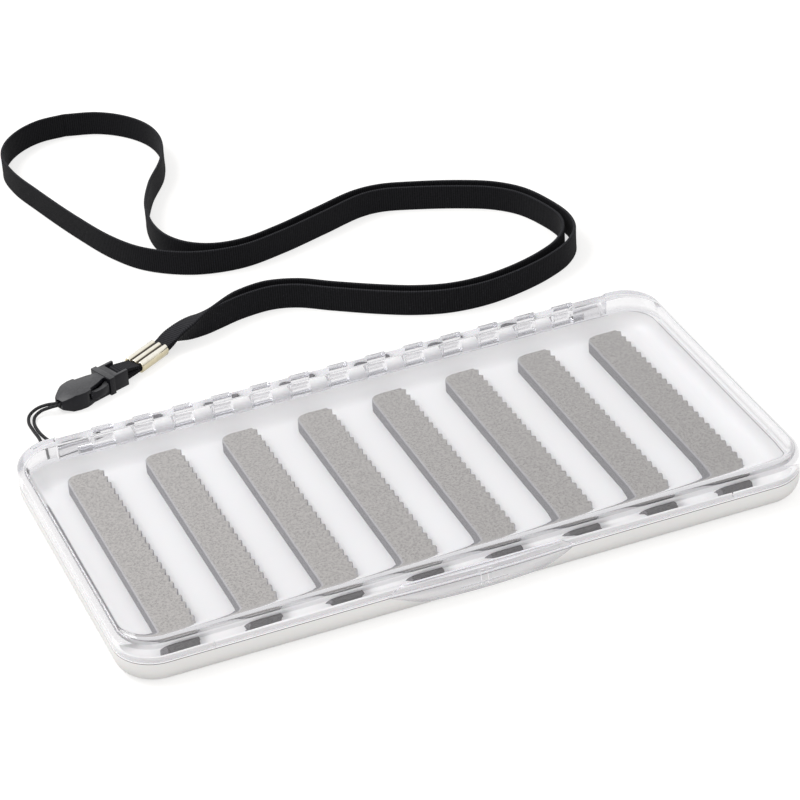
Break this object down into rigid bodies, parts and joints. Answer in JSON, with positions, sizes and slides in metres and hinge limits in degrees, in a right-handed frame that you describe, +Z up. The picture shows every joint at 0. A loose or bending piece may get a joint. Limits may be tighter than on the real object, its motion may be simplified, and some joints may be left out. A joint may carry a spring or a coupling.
{
  "type": "fly box with lanyard",
  "caption": "Slim lidded box with toothed foam strips, a clear hinged lid with a front latch, and a black webbing neck strap on a small side-release buckle.",
  "frame": {"origin": "centre of the closed box's outline, on the surface it stands on, measured without the lanyard", "axes": "+X along the box to the right, +Y to the hinge side, +Z up; the latch faces -Y"},
  "size_m": [0.192, 0.2971, 0.014],
  "materials": {
    "tray": "glossy white",
    "clear": "clear, polished",
    "foam": "matt closed-cell foam",
    "pin": "drawn wire",
    "webbing": "ribbed woven webbing",
    "cord": "fine cord",
    "crimp": "pale gold plated",
    "buckle": "satin black"
  },
  "bodies": {
    "box": {"base_tray": "tray", "hinge_pin": "pin", "lanyard_lug_left": "clear", "lanyard_lug_right": "clear", "foam_strip_1": "foam", "foam_strip_2": "foam", "foam_strip_3": "foam", "foam_strip_4": "foam", "foam_strip_5": "foam", "foam_strip_6": "foam", "foam_strip_7": "foam", "foam_strip_8": "foam", "strap_outer": "webbing", "strap_inner": "webbing", "strap_fold": "webbing", "strap_crimp": "crimp", "buckle_socket": "buckle", "buckle_insert": "buckle", "cord_loop": "cord", "cord_knot": "cord"},
    "lid": {"lid": "clear"},
    "prong_left": {"buckle_prong_left": "buckle"},
    "prong_right": {"buckle_prong_right": "buckle"}
  },
  "joints": [
    {"name": "lid_hinge", "type": "hinge", "parent": "box", "child": "lid", "pos_m": [0, 0.0513, 0.007], "axis": [-1, 0, 0], "range_deg": [0, 140]},
    {"name": "prong_left_squeeze", "type": "hinge", "parent": "box", "child": "prong_left", "pos_m": [-0.05553, 0.09067, 0.0027], "axis": [0, 0, 1], "range_deg": [0, 6], "stiffness_Nm_per_rad": 0.05},
    {"name": "prong_right_squeeze", "type": "hinge", "parent": "box", "child": "prong_right", "pos_m": [-0.0541, 0.08694, 0.0027], "axis": [0, 0, -1], "range_deg": [0, 6], "stiffness_Nm_per_rad": 0.05}
  ]
}
